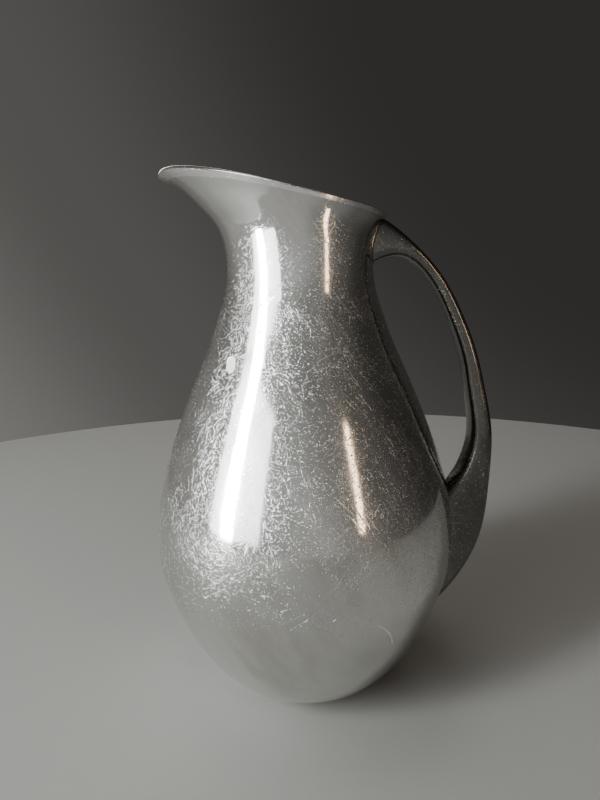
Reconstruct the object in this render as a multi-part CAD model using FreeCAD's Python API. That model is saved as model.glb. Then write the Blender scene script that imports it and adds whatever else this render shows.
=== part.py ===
import FreeCAD, Part
import math
import os

# Drop-shaped silver water pitcher, in millimetres.
# The origin is the centre of the flat base, +Z is up, the spout points along -X and the handle along +X.
# The object is symmetric about the plane Y = 0.

# Body, outside
base_radius = 27.0            # flat bottom the pitcher stands on
base_slope = 0.6              # how steeply the bowl leaves the bottom
belly_radius = 69.2           # widest radius, at the seam
belly_height = 75.0           # height of the widest line
neck_radius = 32.5            # narrowest radius
neck_height = 199.0           # height of the narrowest line

# Mouth, outside
spout_reach = 60.3            # axis to the tip of the spout
spout_height = 238.0          # height of the tip of the spout
back_reach = 38.7             # axis to the back of the mouth
back_height = 218.6           # height of the back of the mouth
mouth_half_width = 35.5       # half the width of the mouth
spout_narrowing = 0.03        # share of the width that the spout gives up at its tip
spout_droop = 1.7             # how far the tip of the spout turns down
lip_wave = 0.6                # how far the lip rises and dips about its own slanting plane
droop_power = 10              # how closely the droop keeps to the tip, around the mouth
droop_rise = 10               # and how closely it keeps to the lip
lip_out = 1.3                 # direction of the wall at the lip: outward, as a share of the spout's reach
lip_up = 0.7                  # and upward, as a share of its height

# Sheet, wire and solder
sheet = 1.3                   # wall of the body
base_edge_radius = 1.2        # rounding of the bottom's outer edge
rim_wire_width = 2.4          # rim wire across the lip
rim_wire_height = 1.8         # rim wire along the wall
rim_crown = 0.45              # rounded top of the rim wire
solder_gap = 0.3              # thickness of every solder line
solder_setback = 0.3          # how far solder stands back from the surfaces beside it
seam_bead = 0.3               # how far the belly solder stands proud inside

# Handle
handle_wall = 1.1             # each stamped half
handle_top_drop = 1.2         # top of the handle below the back of the mouth
handle_tail_height = 30.5     # height where the tail of the handle dies into the belly
handle_finger_room = 36.0     # furthest the outside of the handle stands off the body
handle_top_depth = 20.0       # height of the end that is soldered to the neck
handle_slim_depth = 6.4       # depth of the handle where it is slimmest
handle_heel_depth = 10.0      # depth of the handle half way down
handle_root_depth = 32.0      # depth of the long root that is soldered to the belly
handle_top_half_width = 8.5
handle_slim_half_width = 7.2
handle_heel_half_width = 8.0
handle_tail_half_width = 5.5
handle_squareness = 0.07      # 0 is an ellipse, more is squarer

# Modelling resolution
ring_points = 64
handle_half_points = 15
outline_samples = 36
shoulder_levels = 12
mouth_levels = 9
crown_steps = 4
small_step = 1e-4             # step along the surface when a direction is taken from it
level_step = 0.001            # step down from the lip when the rim wire's lower edge is looked for
height_halvings = 40          # halvings when the outline's point at a given height is looked for
run_on = 14.0                 # how far the handle runs on into the body before it is trimmed
run_on_share = 0.6            # share of that for the handle's inner line
run_on_rise = 0.4             # rise of the run-on's outer line into the neck, over its length
run_on_fall = 0.65            # fall of the run-on's outer line into the belly, over its length
lid_rise = 20.0               # how far the copy of the neck's outside runs on above the spout
split_share = 0.75            # share of the shoulder where the copies of the belly and the neck meet

# Shape of the outline between the named sizes: (share of the height, share of the radius)
bowl_shape = [(0.13, 0.340), (0.30, 0.586), (0.53, 0.803), (0.77, 0.949)]
shoulder_shape = [(0.2, 0.919), (0.4, 0.708), (0.6, 0.434), (0.8, 0.150), (0.91, 0.036)]
# Rise of the spout's underside: (share of the reach, share of the height), from the neck to the tip
spout_shape = [(0.03, 0.2), (0.13, 0.42), (0.36, 0.62), (0.66, 0.83)]
back_shape = [(0.06, 0.3), (0.35, 0.65)]


def vector(x, y, z):
    return FreeCAD.Vector(x, y, z)


def spline(points, first_tangent=None, last_tangent=None):
    curve = Part.BSplineCurve()
    if first_tangent is None:
        curve.interpolate(Points=points)
    else:
        curve.interpolate(Points=points, InitialTangent=first_tangent, FinalTangent=last_tangent)
    return curve


def at_share(curve, share):
    first, last = curve.FirstParameter, curve.LastParameter
    return curve.value(first + (last - first) * share)


def closed_wire(points):
    curve = Part.BSplineCurve()
    curve.interpolate(Points=points, PeriodicFlag=True)
    return Part.Wire(curve.toShape())


def skin(wires, ruled=False):
    return Part.makeLoft(wires, False, ruled).Faces


def solid_from(faces):
    shell = Part.makeShell(faces)
    shell.sewShape()
    solid = Part.makeSolid(shell)
    if solid.Volume < 0:
        solid.reverse()
    return solid


# Outlines in the plane Y = 0

def bowl_outline():
    """Outside of the bowl, from the base edge up to the widest line, as (radius, 0, height)."""
    top = belly_height - solder_gap
    points = [vector(base_radius, 0, 0)]
    for height_share, radius_share in bowl_shape:
        radius = base_radius + (belly_radius - base_radius) * radius_share
        points.append(vector(radius, 0, top * height_share))
    points.append(vector(belly_radius, 0, top))
    return spline(points, vector(top, 0, base_slope * top), vector(0, 0, top))


def shoulder_outline():
    """Outside of the shoulder, from the widest line to the narrowest, as (radius, 0, height)."""
    points = [vector(belly_radius, 0, belly_height)]
    for height_share, radius_share in shoulder_shape:
        radius = neck_radius + (belly_radius - neck_radius) * radius_share
        points.append(vector(radius, 0, belly_height + (neck_height - belly_height) * height_share))
    points.append(vector(neck_radius, 0, neck_height))
    rise = vector(0, 0, neck_height - belly_height)
    return spline(points, rise, rise)


def mouth_outline(reach, height, shape, side):
    """Outline from the narrowest line out to the mouth, at the front (side -1) or the back (side 1)."""
    points = [vector(side * neck_radius, 0, neck_height)]
    for reach_share, height_share in shape:
        x = neck_radius + (reach - neck_radius) * reach_share
        points.append(vector(side * x, 0, neck_height + (height - neck_height) * height_share))
    points.append(vector(side * reach, 0, height))
    rise = height - neck_height
    out = side * (reach - neck_radius)
    return spline(points, vector(0, 0, rise), vector(lip_out * out, 0, lip_up * rise))


bowl_curve = bowl_outline()
shoulder_curve = shoulder_outline()
front_curve = mouth_outline(spout_reach, spout_height, spout_shape, -1)
back_curve = mouth_outline(back_reach, back_height, back_shape, 1)


# Outside surface of the shoulder, neck and mouth

def surface_point(level, angle):
    """Point on the outside: level 0 to 1 is the shoulder, 1 to 2 the mouth; angle 0 is the back."""
    if level <= 1:
        rim = at_share(shoulder_curve, level)
        return vector(rim.x * math.cos(angle), rim.x * math.sin(angle), rim.z)
    flare = level - 1
    front = at_share(front_curve, flare)
    back = at_share(back_curve, flare)
    middle = (front.x + back.x) / 2
    half_length = (back.x - front.x) / 2
    half_width = neck_radius + (mouth_half_width - neck_radius) * flare * flare
    toward_front = (1 - math.cos(angle)) / 2
    x = middle + half_length * math.cos(angle)
    y = half_width * math.sin(angle) * (1 - spout_narrowing * flare * toward_front ** 2)
    z = front.z + (back.z - front.z) * (x - front.x) / (back.x - front.x)
    wave = -math.sin(math.pi * math.cos(angle)) * math.sin(angle) ** 2
    droop = max(-math.cos(angle), 0) ** droop_power
    return vector(x, y, z + lip_wave * wave * flare ** 2 - spout_droop * droop * flare ** droop_rise)


def surface_rise(level, angle):
    """Unit direction up the surface."""
    low = max(level - small_step, 0)
    high = min(level + small_step, 2)
    rise = surface_point(high, angle) - surface_point(low, angle)
    return rise.normalize()


def surface_normal(level, angle):
    """Outward unit normal."""
    around = surface_point(level, angle + small_step) - surface_point(level, angle - small_step)
    normal = around.cross(surface_rise(level, angle))
    return normal.normalize()


def ring_angles():
    return [2 * math.pi * index / ring_points for index in range(ring_points)]


def body_ring(level, inward):
    """Closed ring at one level, a given distance in from the outside."""
    points = []
    for angle in ring_angles():
        points.append(surface_point(level, angle) - surface_normal(level, angle) * inward)
    return closed_wire(points)


def wire_level():
    """Level where the rim wire begins, its height below the lip measured at the back."""
    level = 2.0
    lip = surface_point(2, 0)
    while (surface_point(level, 0) - lip).Length < rim_wire_height:
        level -= level_step
    return level


def body_levels(last):
    levels = [index / shoulder_levels for index in range(shoulder_levels + 1)]
    levels += [1 + (last - 1) * (index + 1) / mouth_levels for index in range(mouth_levels)]
    return levels


def upper_body():
    last = wire_level()
    levels = body_levels(last)
    outside = [body_ring(level, 0) for level in levels]
    inside = [body_ring(level, sheet) for level in levels]
    faces = skin(outside) + skin(inside)
    faces += skin([outside[0], inside[0]], True)
    faces += skin([outside[-1], inside[-1]], True)
    return solid_from(faces)


def crown_ring(turn):
    """Closed ring over the rounded top of the rim wire: turn 0 is its outer edge and pi its inner edge."""
    across = rim_wire_width * (1 - math.cos(turn)) / 2
    rise = rim_crown * math.sin(turn)
    points = []
    for angle in ring_angles():
        flat = surface_point(2, angle) - surface_normal(2, angle) * across
        points.append(flat + surface_rise(2, angle) * rise)
    return closed_wire(points)


def rim_wire():
    """Wire along the mouth: flush outside, proud inside, with a rounded top."""
    first = wire_level()
    levels = [first, (first + 2) / 2, 2]
    outside = [body_ring(level, 0) for level in levels]
    inside = [body_ring(level, rim_wire_width) for level in levels]
    crown = [crown_ring(math.pi * step / crown_steps) for step in range(crown_steps + 1)]
    faces = skin(outside) + skin(inside) + skin(crown)
    faces += skin([outside[0], inside[0]], True)
    return solid_from(faces)


def revolved(edges):
    profile = Part.Face(Part.Wire(edges))
    return profile.revolve(vector(0, 0, 0), vector(0, 0, 1), 360)


def line(start, end):
    return Part.makeLine(vector(*start), vector(*end))


def offset_outline(curve, inward, last_share=1):
    """A curve a given distance to the left of one that runs upwards."""
    points = []
    first, last = curve.FirstParameter, curve.LastParameter
    for index in range(outline_samples):
        parameter = first + (last - first) * last_share * index / (outline_samples - 1)
        direction = curve.tangent(parameter)[0]
        points.append(curve.value(parameter) + vector(-direction.z, 0, direction.x) * inward)
    return spline(points)


def lower_bowl():
    """Spun cup with a flat bottom."""
    top = belly_height - solder_gap
    inner = offset_outline(bowl_curve, sheet)
    start = at_share(inner, 0)
    end = at_share(inner, 1)
    edges = [
        line((0, 0, 0), (base_radius, 0, 0)),
        bowl_curve.toShape(),
        line((belly_radius, 0, top), (end.x, 0, end.z)),
        inner.toShape(),
        line((start.x, 0, start.z), (0, 0, start.z)),
        line((0, 0, start.z), (0, 0, 0)),
    ]
    bowl = revolved(edges)
    rounded = [edge for edge in bowl.Edges if is_circle_at(edge, base_radius, 0)]
    return bowl.makeFillet(base_edge_radius, rounded)


def is_circle_at(edge, radius, height):
    if not isinstance(edge.Curve, Part.Circle):
        return False
    return abs(edge.Curve.Radius - radius) < 0.01 and abs(edge.Curve.Center.z - height) < 0.01


def belly_seam_solder():
    """Solder ring between the bowl and the upper body, flush outside and slightly proud inside."""
    foot = vector(0, 0, belly_height - solder_gap)
    outer = Part.makeCylinder(belly_radius, solder_gap, foot)
    inner = Part.makeCylinder(belly_radius - sheet - seam_bead, solder_gap, foot)
    return outer.cut(inner)


# Solid copies of the body's outside, used to trim what is soldered to it

def neck_block(outward):
    """Everything inside the neck and the mouth, moved outward by a distance."""
    levels = [level for level in body_levels(2) if level >= split_share]
    rings = [body_ring(level, -outward) for level in levels]
    lid = []
    for angle in ring_angles():
        point = surface_point(2, angle) + surface_normal(2, angle) * outward
        lid.append(vector(point.x, point.y, spout_height + lid_rise))
    lid_wire = closed_wire(lid)
    faces = skin(rings) + skin([rings[-1], lid_wire], True)
    faces += [Part.Face(rings[0]), Part.Face(lid_wire)]
    return solid_from(faces)


def belly_block(outward):
    """Everything inside the bowl and most of the shoulder, moved outward by a distance."""
    low = offset_outline(bowl_curve, -outward)
    high = offset_outline(shoulder_curve, -outward, split_share)
    start, seam = at_share(low, 0), at_share(low, 1)
    above_seam, end = at_share(high, 0), at_share(high, 1)
    return revolved([
        line((0, 0, start.z), start),
        low.toShape(),
        line(seam, above_seam),
        high.toShape(),
        line(end, (0, 0, end.z)),
        line((0, 0, end.z), (0, 0, start.z)),
    ])


# Handle

def body_reach(height):
    """Outside of the body on the handle's side, at one height."""
    curve = bowl_curve
    if height > belly_height:
        curve = shoulder_curve
    if height > neck_height:
        curve = back_curve
    low, high = 0.0, 1.0
    for _ in range(height_halvings):
        middle = (low + high) / 2
        if at_share(curve, middle).z < height:
            low = middle
        else:
            high = middle
    return at_share(curve, low).x


def handle_stations():
    """Pairs of (outer point, inner point, half width), from inside the neck round to inside the belly."""
    top = back_height - handle_top_drop
    room = handle_finger_room
    end, slim, heel, root = handle_top_depth, handle_slim_depth, handle_heel_depth, handle_root_depth
    wide, thin = handle_top_half_width, handle_slim_half_width
    grip, tail = handle_heel_half_width, handle_tail_half_width
    # share of the way down, stand-off from the body, depth, tilt of the section in degrees, half width
    outline = [
        (0.000, 0.2, end, 73, wide),
        (0.033, room * 0.325, end * 0.53, 67, wide * 0.97),
        (0.076, room * 0.610, slim, 46, wide * 0.93),
        (0.141, room * 0.880, slim * 0.95, 38, thin),
        (0.223, room * 0.985, slim * 1.03, 23, thin),
        (0.310, room * 0.99, slim * 1.13, 19, thin),
        (0.410, room * 0.90, slim * 1.31, 9, thin),
        (0.527, room * 0.77, heel, 0, grip),
        (0.627, room * 0.61, heel * 1.44, -25, grip),
        (0.734, room * 0.49, root * 0.76, -47, grip),
        (0.841, room * 0.38, root, -47, grip * 0.9),
        (0.932, room * 0.25, root * 0.97, -49, grip * 0.8),
        (1.000, 1.0, root * 0.72, -53, tail),
    ]
    stations = []
    for share, standoff, depth, tilt, half_width in outline:
        height = top - (top - handle_tail_height) * share
        outer = (body_reach(height) + standoff, height)
        turn = math.radians(tilt)
        inner = (outer[0] - depth * math.cos(turn), outer[1] - depth * math.sin(turn))
        stations.append((outer, inner, half_width))
    first, last = stations[0], stations[-1]
    stations.insert(0, run_on_station(first, run_on_rise))
    stations.append(run_on_station(last, -run_on_fall))
    return stations


def run_on_station(station, slope):
    """The same section again, further into the body."""
    outer, inner, half_width = station
    further_out = (outer[0] - run_on, outer[1] + run_on * slope)
    further_in = (inner[0] - run_on * run_on_share, inner[1])
    return further_out, further_in, half_width


def handle_point(station, turn, inward, side):
    """Point on a rounded-square section: turn 0 is the outer seam and pi the inner seam."""
    outer, inner, half_width = station
    start = vector(outer[0], 0, outer[1])
    end = vector(inner[0], 0, inner[1])
    across = start - end
    half_depth = across.Length / 2 - inward
    across.normalize()
    square = handle_squareness
    u = math.cos(turn) * (1 + square) - square * math.cos(3 * turn)
    v = math.sin(turn) * (1 + square) + square * math.sin(3 * turn)
    sideways = vector(0, side * v * (half_width - inward), 0)
    return (start + end) * 0.5 + across * (u * half_depth) + sideways


def handle_surface(inward, side):
    """One half of the handle's skin, a given distance in from the outside."""
    rows = []
    for index in range(handle_half_points):
        turn = math.pi * index / (handle_half_points - 1)
        rows.append([handle_point(station, turn, inward, side) for station in handle_stations()])
    surface = Part.BSplineSurface()
    surface.interpolate(rows)
    return surface


def surface_edges(surface):
    """The four edges of a surface: its two seams, then its two ends."""
    u0, u1, v0, v1 = surface.bounds()
    return [curve.toShape() for curve in
            (surface.uIso(u0), surface.uIso(u1), surface.vIso(v0), surface.vIso(v1))]


def handle_half(outer_inset, inner_inset, side):
    """Half of a hollow handle, between two distances in from the outside."""
    outer = handle_surface(outer_inset, side)
    inner = handle_surface(inner_inset, side)
    faces = [outer.toShape(), inner.toShape()]
    for outer_edge, inner_edge in zip(surface_edges(outer), surface_edges(inner)):
        faces.append(Part.makeRuledSurface(outer_edge, inner_edge))
    return solid_from(faces)


def handle_shell(side):
    return largest(handle_half(0, handle_wall, side).cut([belly_block(solder_gap), neck_block(solder_gap)]))


def handle_solder(block):
    """Solder between the end of the handle's wall and the body beside it."""
    ring = handle_half(solder_setback, handle_wall, -1).fuse(handle_half(solder_setback, handle_wall, 1))
    return largest(ring.common(block(solder_gap)).cut(block(0)))


def largest(shape):
    return max(shape.Solids, key=lambda solid: solid.Volume)


def write(name, shape):
    shape.exportStep(os.path.join("parts", name + ".step"))
    print(name, "valid", shape.isValid(), "solids", len(shape.Solids), "volume", round(shape.Volume, 1))


os.makedirs("parts", exist_ok=True)
write("lower_bowl", lower_bowl())
write("belly_seam_solder", belly_seam_solder())
write("upper_body", upper_body())
write("rim_wire", rim_wire())
write("handle_left_shell", handle_shell(-1))
write("handle_right_shell", handle_shell(1))
write("upper_handle_solder", handle_solder(neck_block))
write("lower_handle_solder", handle_solder(belly_block))
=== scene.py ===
import bpy
import math
from mathutils import Matrix, Vector


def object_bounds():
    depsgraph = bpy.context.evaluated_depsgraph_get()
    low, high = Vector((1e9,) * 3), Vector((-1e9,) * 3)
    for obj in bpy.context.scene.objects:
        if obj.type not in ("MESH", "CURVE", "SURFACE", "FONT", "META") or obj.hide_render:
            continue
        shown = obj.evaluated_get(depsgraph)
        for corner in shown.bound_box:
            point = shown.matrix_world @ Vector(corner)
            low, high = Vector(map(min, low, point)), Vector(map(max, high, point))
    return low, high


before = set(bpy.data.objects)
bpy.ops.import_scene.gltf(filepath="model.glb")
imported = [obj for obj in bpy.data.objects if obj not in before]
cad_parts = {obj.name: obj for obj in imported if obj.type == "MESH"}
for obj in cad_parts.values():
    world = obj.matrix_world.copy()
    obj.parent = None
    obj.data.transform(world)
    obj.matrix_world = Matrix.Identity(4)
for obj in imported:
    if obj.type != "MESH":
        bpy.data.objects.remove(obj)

cadLow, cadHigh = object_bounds()
print("loaded", len(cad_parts), "nodes")

# where the camera stands and how it looks at the pitcher
camera = {
    "place": (-0.00115, -0.25806, 0.18571),
    "lookDown": 10.62,          # degrees below level
    "roll": -1.132,             # degrees
    "lens": 25.2,
    "sensor": 36.0,
}

# soft boxes in a dim room, all aimed at the middle of the pitcher
studio = {
    "floorRadius": 0.62,
    "floorSides": 160,
    "floorDrop": 0.0002,        # how far the floor lies under the base
    "floorRoughness": 0.9,
    "floorColour": (0.34, 0.33, 0.315),
    "room": [(0.0, (0.036, 0.034, 0.032)), (0.26, (0.085, 0.082, 0.078)), (0.50, (0.165, 0.162, 0.155)),
             (0.85, (0.31, 0.31, 0.302))],
    "roomFacing": (-0.38, -0.36, -0.30),   # the way from the room's dark side to its bright one
    "roomMiddle": 0.5,
    "aim": (0, 0, 0.12),
    "lights": {
        "windowLight": {
            "place": (-0.95, -0.62, 0.45), "size": (0.20, 1.00),
            "power": 15.0, "tint": (0.92, 0.99, 1.0),
        },
        "windowGlow": {
            "place": (-1.20, -0.95, 0.50), "size": (1.15, 1.15),
            "power": 9.0, "tint": (0.94, 0.99, 1.0),
        },
        "warmLight": {
            "place": (0.85, -1.00, 0.42), "size": (0.10, 0.70),
            "power": 0.8, "tint": (1.0, 0.74, 0.52),
        },
        "topLight": {
            "place": (-0.12, 0.10, 1.25), "size": (0.50, 0.35),
            "power": 1.5, "tint": (1.0, 0.98, 0.95),
        },
        "backLight": {
            "place": (-0.25, 1.30, 0.75), "size": (0.9, 0.4),
            "power": 2.2, "tint": (1.0, 0.97, 0.93),
        },
    },
    "contrastLook": "AgX - Medium High Contrast",
    "exposure": 0.25,
}


def placeCamera():
    data = bpy.data.cameras.new("pitcherCamera")
    data.lens = camera["lens"]
    data.sensor_width = camera["sensor"]
    data.clip_start = 0.005
    thing = bpy.data.objects.new("pitcherCamera", data)
    bpy.context.scene.collection.objects.link(thing)
    down = math.radians(camera["lookDown"])
    roll = math.radians(camera["roll"])
    forward = Vector((0, math.cos(down), -math.sin(down)))
    side = Vector((1, 0, 0))
    up = side.cross(forward)
    right = side * math.cos(roll) + up * math.sin(roll)
    top = up * math.cos(roll) - side * math.sin(roll)
    axes = Matrix((right, top, -forward)).transposed()
    thing.matrix_world = Matrix.Translation(camera["place"]) @ axes.to_4x4()
    bpy.context.scene.camera = thing


def hangLights():
    for name, box in studio["lights"].items():
        data = bpy.data.lights.new(name, "AREA")
        data.shape = "RECTANGLE"
        data.size, data.size_y = box["size"]
        data.energy = box["power"]
        data.color = box["tint"]
        thing = bpy.data.objects.new(name, data)
        bpy.context.scene.collection.objects.link(thing)
        thing.location = box["place"]
        aim = Vector(studio["aim"]) - Vector(box["place"])
        thing.rotation_mode = "QUATERNION"
        thing.rotation_quaternion = aim.to_track_quat("-Z", "Y")
    lightRoom()


def lightRoom():
    # the room is brightest in front and to the left, and dark to the right and behind
    room = bpy.data.worlds.new("dimRoom")
    room.use_nodes = True
    tree = room.node_tree
    place = tree.nodes.new("ShaderNodeTexCoord").outputs["Generated"]
    facing = tree.nodes.new("ShaderNodeVectorMath")
    facing.operation = "DOT_PRODUCT"
    tree.links.new(place, facing.inputs[0])
    facing.inputs[1].default_value = studio["roomFacing"]
    share = tree.nodes.new("ShaderNodeMath")
    share.operation = "ADD"
    tree.links.new(facing.outputs["Value"], share.inputs[0])
    share.inputs[1].default_value = studio["roomMiddle"]
    ramp = tree.nodes.new("ShaderNodeValToRGB")
    ramp.color_ramp.interpolation = "EASE"
    tree.links.new(share.outputs[0], ramp.inputs["Fac"])
    while len(ramp.color_ramp.elements) < len(studio["room"]):
        ramp.color_ramp.elements.new(0.5)
    for stop, (position, colour) in zip(ramp.color_ramp.elements, studio["room"]):
        stop.position = position
        stop.color = (*colour, 1)
    tree.links.new(ramp.outputs["Color"], tree.nodes["Background"].inputs["Color"])
    bpy.context.scene.world = room


def layFloor():
    bpy.ops.object.select_all(action="DESELECT")
    bpy.ops.mesh.primitive_circle_add(
        vertices=studio["floorSides"], radius=studio["floorRadius"], fill_type="NGON",
        location=(0, 0, cadLow.z - studio["floorDrop"]))
    floor = bpy.context.object
    floor.name = "paleFloor"
    bpy.ops.object.transform_apply(location=True, rotation=True, scale=True)
    cloth = bpy.data.materials.new("paleFloor")
    cloth.use_nodes = True
    shader = cloth.node_tree.nodes["Principled BSDF"]
    shader.inputs["Base Color"].default_value = (*studio["floorColour"], 1)
    shader.inputs["Roughness"].default_value = studio["floorRoughness"]
    floor.data.materials.append(cloth)


def setView():
    view = bpy.context.scene.view_settings
    view.look = studio["contrastLook"]
    view.exposure = studio["exposure"]


placeCamera()
hangLights()
layFloor()
setView()
print("studio ready")


# short ways to wire a material

def newMaterial(name):
    material = bpy.data.materials.new(name)
    material.use_nodes = True
    tree = material.node_tree
    return material, tree, tree.nodes["Principled BSDF"]


def feed(tree, socket, value):
    if isinstance(value, bpy.types.NodeSocket):
        tree.links.new(value, socket)
    else:
        socket.default_value = value


def objectPlace(tree):
    return tree.nodes.new("ShaderNodeTexCoord").outputs["Object"]


def turned(tree, vector, turn=(0, 0, 0), stretch=(1, 1, 1)):
    # turns first, then stretches
    spin = tree.nodes.new("ShaderNodeMapping")
    spin.inputs["Rotation"].default_value = [math.radians(angle) for angle in turn]
    tree.links.new(vector, spin.inputs["Vector"])
    scale = tree.nodes.new("ShaderNodeMapping")
    scale.inputs["Scale"].default_value = stretch
    tree.links.new(spin.outputs["Vector"], scale.inputs["Vector"])
    return scale.outputs["Vector"]


def sums(tree, kind, first, second=0.0, clamp=False):
    node = tree.nodes.new("ShaderNodeMath")
    node.operation = kind
    node.use_clamp = clamp
    feed(tree, node.inputs[0], first)
    feed(tree, node.inputs[1], second)
    return node.outputs[0]


def between(tree, value, low, high, fromValue=0.0, toValue=1.0):
    # smooth step of value from low to high
    node = tree.nodes.new("ShaderNodeMapRange")
    node.interpolation_type = "SMOOTHSTEP"
    feed(tree, node.inputs["Value"], value)
    node.inputs["From Min"].default_value = low
    node.inputs["From Max"].default_value = high
    node.inputs["To Min"].default_value = fromValue
    node.inputs["To Max"].default_value = toValue
    return node.outputs["Result"]


def noise(tree, vector, scale, detail=2.0, roughness=0.5):
    node = tree.nodes.new("ShaderNodeTexNoise")
    tree.links.new(vector, node.inputs["Vector"])
    node.inputs["Scale"].default_value = scale
    node.inputs["Detail"].default_value = detail
    node.inputs["Roughness"].default_value = roughness
    return node.outputs["Fac"]


def blend(tree, share, first, second):
    node = tree.nodes.new("ShaderNodeMix")
    node.data_type = "RGBA"
    feed(tree, node.inputs["Factor"], share)
    feed(tree, node.inputs["A"], (*first, 1) if isinstance(first, tuple) else first)
    feed(tree, node.inputs["B"], (*second, 1) if isinstance(second, tuple) else second)
    return node.outputs["Result"]


def heightOf(tree, place):
    split = tree.nodes.new("ShaderNodeSeparateXYZ")
    tree.links.new(place, split.inputs[0])
    return split.outputs["Z"]


def bumped(tree, height, distance, strength=1.0):
    node = tree.nodes.new("ShaderNodeBump")
    node.inputs["Distance"].default_value = distance
    node.inputs["Strength"].default_value = strength
    tree.links.new(height, node.inputs["Height"])
    return node.outputs["Normal"]


# fine wear on the silver, in metres
wear = {
    "fine": {"spacing": 0.0012, "size": 0.00044, "seed": 0.3, "weight": 0.9},
    "coarse": {"spacing": 0.0040, "size": 0.00062, "seed": 0.9, "weight": 1.0},
    "dust": {"spacing": 0.00045, "size": 0.00026, "seed": 1.7, "weight": 0.45},
    "mainScratches": {"turn": (0, 38, 0), "spacing": 0.0034, "length": 0.16, "share": 0.46, "seed": 0.2},
    "otherScratches": {"spacing": 0.0040, "length": 0.15, "share": 0.42},
    "otherTurns": [((0, -52, 20), 1.4), ((12, 85, 0), 2.6), ((0, 8, 0), 3.3)],
    "scratchWeight": 0.62,
    "scratchHalfWidth": 0.008,  # in units of the noise that draws them
    "scratchBreaks": 0.37,      # scale of the gaps along them
    "depth": 0.35,
    "markColour": (0.96, 0.965, 0.96),
    "markTint": 0.7,
    "bumpDistance": 0.0002,
}


def pits(tree, place, spacing, size, seed):
    # scattered dots: one in each cell, of uneven size, some cells empty
    cells = tree.nodes.new("ShaderNodeTexVoronoi")
    shifted = tree.nodes.new("ShaderNodeMapping")
    shifted.inputs["Location"].default_value = (seed, seed * 0.7, seed * 1.3)
    tree.links.new(place, shifted.inputs["Vector"])
    tree.links.new(shifted.outputs["Vector"], cells.inputs["Vector"])
    cells.inputs["Scale"].default_value = 1 / spacing
    luck = tree.nodes.new("ShaderNodeSeparateColor")
    tree.links.new(cells.outputs["Color"], luck.inputs[0])
    reach = sums(tree, "MULTIPLY", luck.outputs[0], size / spacing)
    inside = sums(tree, "SUBTRACT", reach, cells.outputs["Distance"])
    return between(tree, inside, 0.0, 0.3 * size / spacing)


def hairlines(tree, place, turn, spacing, length, share, seed):
    # thin straight scratches that run one way, broken up along their length
    along = turned(tree, place, turn, (1 / spacing, 1 / spacing, 1 / length))
    shifted = tree.nodes.new("ShaderNodeMapping")
    shifted.inputs["Location"].default_value = (seed, seed * 2.1, seed * 0.4)
    tree.links.new(along, shifted.inputs["Vector"])
    streaks = noise(tree, shifted.outputs["Vector"], 1.0, 1.0)
    ridge = sums(tree, "ABSOLUTE", sums(tree, "SUBTRACT", streaks, 0.5))
    line = between(tree, ridge, 0.0, wear["scratchHalfWidth"], 1.0, 0.0)
    patches = noise(tree, shifted.outputs["Vector"], wear["scratchBreaks"], 0.0)
    return sums(tree, "MULTIPLY", line, between(tree, patches, 1 - share, 1 - share + 0.05))


# single marks on the body: where they sit, and how large
bodyMarks = {
    "paleRub": {"place": (-0.0286, -0.0338, 0.1586), "half": (0.0024, 0.0050, 0.0042)},
    "nickPatch": {"place": (0.0054, -0.0687, 0.0669), "half": (0.0060, 0.0060, 0.0062)},
    "tableRub": {"place": (-0.0156, -0.0666, 0.0770), "half": (0.0135, 0.0120, 0.0105)},
    "ringDents": [(0.0013, -0.0644, 0.1065), (0.0040, -0.0646, 0.1040)],
    "ringSize": 0.0016,
    "curvedScratch": {"centre": (0.0082, -0.0580, 0.0416), "reach": 0.0268, "from": 0.0448, "to": 0.0615},
}


def nearness(tree, place, centre, half):
    # 1 at the centre of a stretched ball and 0 outside it
    moved = tree.nodes.new("ShaderNodeVectorMath")
    moved.operation = "SUBTRACT"
    tree.links.new(place, moved.inputs[0])
    moved.inputs[1].default_value = centre
    scaled = tree.nodes.new("ShaderNodeVectorMath")
    scaled.operation = "DIVIDE"
    tree.links.new(moved.outputs["Vector"], scaled.inputs[0])
    scaled.inputs[1].default_value = half
    length = tree.nodes.new("ShaderNodeVectorMath")
    length.operation = "LENGTH"
    tree.links.new(scaled.outputs["Vector"], length.inputs[0])
    return length.outputs["Value"]


def ringLine(tree, place, centre, reach, width):
    away = nearness(tree, place, centre, (1, 1, 1))
    offLine = sums(tree, "ABSOLUTE", sums(tree, "SUBTRACT", away, reach))
    return between(tree, offLine, width * 0.4, width, 1.0, 0.0)


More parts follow.
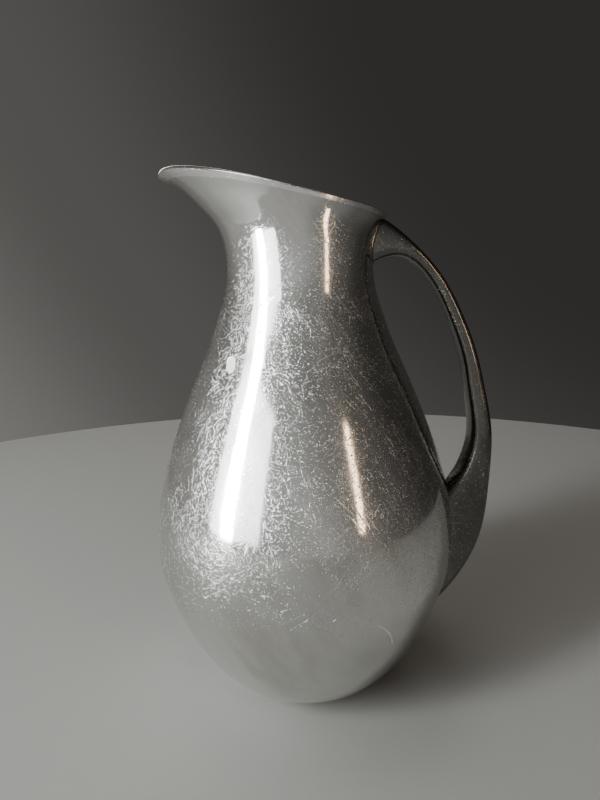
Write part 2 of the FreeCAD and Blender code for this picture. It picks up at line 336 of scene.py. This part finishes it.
def singleMarks(tree, place, height):
    rub = bodyMarks["paleRub"]
    ragged = noise(tree, place, 900.0, 3.0)
    away = nearness(tree, place, rub["place"], rub["half"])
    away = sums(tree, "ADD", away, sums(tree, "MULTIPLY", ragged, 0.35))
    pale = sums(tree, "MULTIPLY", between(tree, away, 0.95, 1.15, 1.0, 0.0), 0.85)
    patch = bodyMarks["nickPatch"]
    near = between(tree, nearness(tree, place, patch["place"], patch["half"]), 0.55, 1.0, 1.0, 0.0)
    nicks = sums(tree, "MULTIPLY", hairlines(tree, place, (0, 12, 0), 0.0014, 0.012, 0.95, 7.0), near)
    patch = bodyMarks["tableRub"]
    near = between(tree, nearness(tree, place, patch["place"], patch["half"]), 0.6, 1.0, 1.0, 0.0)
    level = hairlines(tree, place, (0, 90, 0), 0.0024, 0.05, 0.72, 5.0)
    level = sums(tree, "MULTIPLY", sums(tree, "MULTIPLY", level, near), 0.8)
    found = sums(tree, "MAXIMUM", pale, sums(tree, "MAXIMUM", nicks, level))
    broken = between(tree, noise(tree, place, 700.0, 1.0), 0.42, 0.62, 0.0, 0.55)
    for centre in bodyMarks["ringDents"]:
        ring = sums(tree, "MULTIPLY", ringLine(tree, place, centre, bodyMarks["ringSize"], 0.00045), broken)
        found = sums(tree, "MAXIMUM", found, ring)
    arc = bodyMarks["curvedScratch"]
    line = ringLine(tree, place, arc["centre"], arc["reach"], 0.0007)
    band = sums(tree, "MULTIPLY", between(tree, height, arc["from"], arc["from"] + 0.003),
                between(tree, height, arc["to"] - 0.003, arc["to"], 1.0, 0.0))
    side = tree.nodes.new("ShaderNodeSeparateXYZ")
    tree.links.new(place, side.inputs[0])
    band = sums(tree, "MULTIPLY", band, between(tree, side.outputs["X"], 0.0235, 0.0250))
    return sums(tree, "MAXIMUM", found, sums(tree, "MULTIPLY", line, band))


bodySilver = {
    "bright": (0.80, 0.795, 0.775),
    "tarnished": (0.54, 0.52, 0.485),
    "polish": 0.035,            # roughness where the mirror is clean
    "haze": 0.10,               # roughness where it is rubbed dull
    "pitRoughness": 0.44,
    "wornFrom": 0.058,          # wear fades out below and above these heights
    "wornTo": 0.222,
    "wear": 1.0,
    "singleMarks": True,
}

# the handle is the same silver as the body; both of its colours are set far darker, partly tarnish and
# partly painted shade standing in for the dark room it reflects
shadedHandleSilver = {
    "bright": (0.22, 0.212, 0.20),
    "tarnished": (0.10, 0.092, 0.084),
    "polish": 0.055,
    "haze": 0.13,
    "pitRoughness": 0.34,
    "wornFrom": 0.020,
    "wornTo": 0.230,
    "wear": 0.55,
    "singleMarks": False,
}

lipSilver = {
    "bright": (0.92, 0.915, 0.90),
    "tarnished": (0.78, 0.765, 0.74),
    "polish": 0.10,
    "haze": 0.22,
    "pitRoughness": 0.25,
    "wornFrom": 0.200,
    "wornTo": 0.260,
    "wear": 0.5,
    "singleMarks": False,
}


def wornSilver(name, look):
    material, tree, shader = newMaterial(name)
    place = objectPlace(tree)
    height = heightOf(tree, place)
    low = between(tree, height, look["wornFrom"] - 0.02, look["wornFrom"] + 0.02)
    high = between(tree, height, look["wornTo"] - 0.03, look["wornTo"], 1.0, 0.0)
    worn = sums(tree, "MULTIPLY", low, high)
    worn = sums(tree, "ADD", sums(tree, "MULTIPLY", worn, 0.9 * look["wear"]), 0.10 * look["wear"])
    cloudy = noise(tree, place, 55.0, 4.0, 0.6)
    patchy = sums(tree, "MULTIPLY", worn, between(tree, cloudy, 0.30, 0.70, 0.50, 1.0))
    specks = 0.0
    for kind in ("fine", "coarse", "dust"):
        dots = wear[kind]
        layer = pits(tree, place, dots["spacing"], dots["size"], dots["seed"])
        specks = sums(tree, "MAXIMUM", sums(tree, "MULTIPLY", layer, dots["weight"]), specks)
    specks = sums(tree, "MULTIPLY", specks, patchy)
    main = wear["mainScratches"]
    other = wear["otherScratches"]
    lines = hairlines(
        tree, place, main["turn"], main["spacing"], main["length"], main["share"], main["seed"])
    for turn, seed in wear["otherTurns"]:
        more = hairlines(tree, place, turn, other["spacing"], other["length"], other["share"], seed)
        lines = sums(tree, "MAXIMUM", lines, more)
    lines = sums(tree, "MULTIPLY", lines, sums(tree, "MULTIPLY", patchy, wear["scratchWeight"]))
    marks = sums(tree, "MAXIMUM", specks, lines)
    deep = sums(tree, "MULTIPLY", marks, -wear["depth"])
    if look["singleMarks"]:
        single = singleMarks(tree, place, height)
        marks = sums(tree, "MAXIMUM", marks, single)
        deep = sums(tree, "SUBTRACT", deep, sums(tree, "MULTIPLY", single, 0.8))
    haze = between(tree, noise(tree, place, 34.0, 5.0, 0.65), 0.3, 0.75, look["polish"], look["haze"])
    veil = sums(tree, "MULTIPLY", patchy, 0.06)
    rough = sums(tree, "ADD", haze, veil)
    rough = sums(tree, "ADD", rough, sums(tree, "MULTIPLY", marks, look["pitRoughness"]))
    feed(tree, shader.inputs["Roughness"], rough)
    smears = turned(tree, place, (0, 30, 0), (1.0, 1.0, 0.28))
    stain = between(tree, noise(tree, smears, 30.0, 6.0, 0.62), 0.38, 0.75)
    colour = blend(tree, sums(tree, "MULTIPLY", stain, 0.7), look["bright"], look["tarnished"])
    colour = blend(tree, sums(tree, "MULTIPLY", marks, wear["markTint"]), colour, wear["markColour"])
    feed(tree, shader.inputs["Base Color"], colour)
    shader.inputs["Metallic"].default_value = 1.0
    wavy = noise(tree, place, 28.0, 1.0)
    relief = sums(tree, "ADD", sums(tree, "MULTIPLY", wavy, 0.25), deep)
    feed(tree, shader.inputs["Normal"], bumped(tree, relief, wear["bumpDistance"]))
    return material


# the solder at the handle joints is coloured near black with a grain, which draws a dark line where the
# handle meets the body
solder = {
    "bright": (0.30, 0.285, 0.26),
    "dark": (0.06, 0.055, 0.05),
    "smooth": 0.30,
    "rough": 0.55,
}


def darkSolder():
    material, tree, shader = newMaterial("darkSolder")
    place = objectPlace(tree)
    grain = noise(tree, place, 700.0, 4.0, 0.6)
    colour = blend(tree, between(tree, grain, 0.35, 0.65), solder["dark"], solder["bright"])
    feed(tree, shader.inputs["Base Color"], colour)
    rough = between(tree, grain, 0.3, 0.7, solder["smooth"], solder["rough"])
    feed(tree, shader.inputs["Roughness"], rough)
    shader.inputs["Metallic"].default_value = 1.0
    feed(tree, shader.inputs["Normal"], bumped(tree, grain, 0.0002, 0.6))
    return material


def dress(material, *names):
    for name in names:
        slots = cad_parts[name].data.materials
        slots.clear()
        slots.append(material)


dress(wornSilver("bodySilver", bodySilver), "lower_bowl", "upper_body", "belly_seam_solder")
# the handle's silver carries painted shade in its darkened colours
dress(wornSilver("shadedHandleSilver", shadedHandleSilver), "handle_left_shell", "handle_right_shell")
dress(wornSilver("lipSilver", lipSilver), "rim_wire")
dress(darkSolder(), "upper_handle_solder", "lower_handle_solder")
print("silver on")
